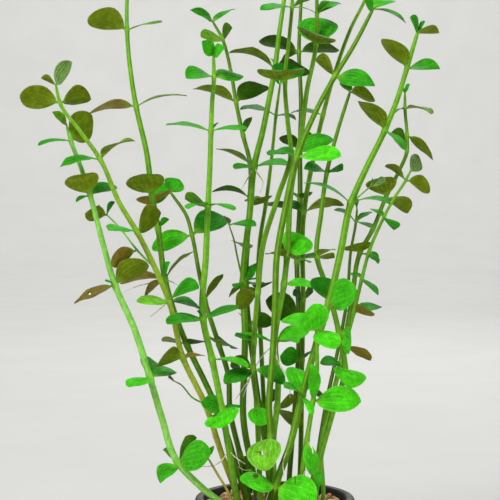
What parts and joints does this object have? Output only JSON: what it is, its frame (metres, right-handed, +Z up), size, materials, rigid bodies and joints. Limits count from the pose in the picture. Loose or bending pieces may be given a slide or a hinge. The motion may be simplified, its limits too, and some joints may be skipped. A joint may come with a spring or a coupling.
{
  "type": "potted lindernia rotundifolia",
  "caption": "Bunch of upright green stems with round leaves in opposite pairs, planted in gravel in a small plain pot.",
  "frame": {"origin": "centre of the pot's flat foot, on the surface that it stands on", "axes": "+Z up along the pot's axis, -Y towards the viewer of the picture, +X to the viewer's right"},
  "size_m": [0.137, 0.073, 0.227],
  "materials": {
    "leaf_green": "satin",
    "stem_green": "satin",
    "gravel": "satin",
    "pot_plastic": "satin"
  },
  "bodies": {
    "root": {"pot": "pot_plastic", "gravel": "gravel", "shoot_01": "leaf_green", "shoot_02": "leaf_green", "shoot_03": "leaf_green", "shoot_04": "leaf_green", "shoot_05": "leaf_green", "shoot_06": "leaf_green", "shoot_07": "leaf_green", "shoot_08": "leaf_green", "shoot_09": "leaf_green", "shoot_10": "leaf_green", "shoot_11": "leaf_green", "shoot_12": "leaf_green", "shoot_13": "leaf_green", "shoot_14": "leaf_green", "shoot_15": "leaf_green", "shoot_16": "leaf_green", "shoot_17": "leaf_green", "shoot_18": "leaf_green", "shoot_19": "leaf_green", "shoot_20": "leaf_green", "side_shoot_01": "stem_green", "side_shoot_02": "stem_green", "side_shoot_03": "stem_green", "side_shoot_04": "stem_green"}
  },
  "joints": []
}
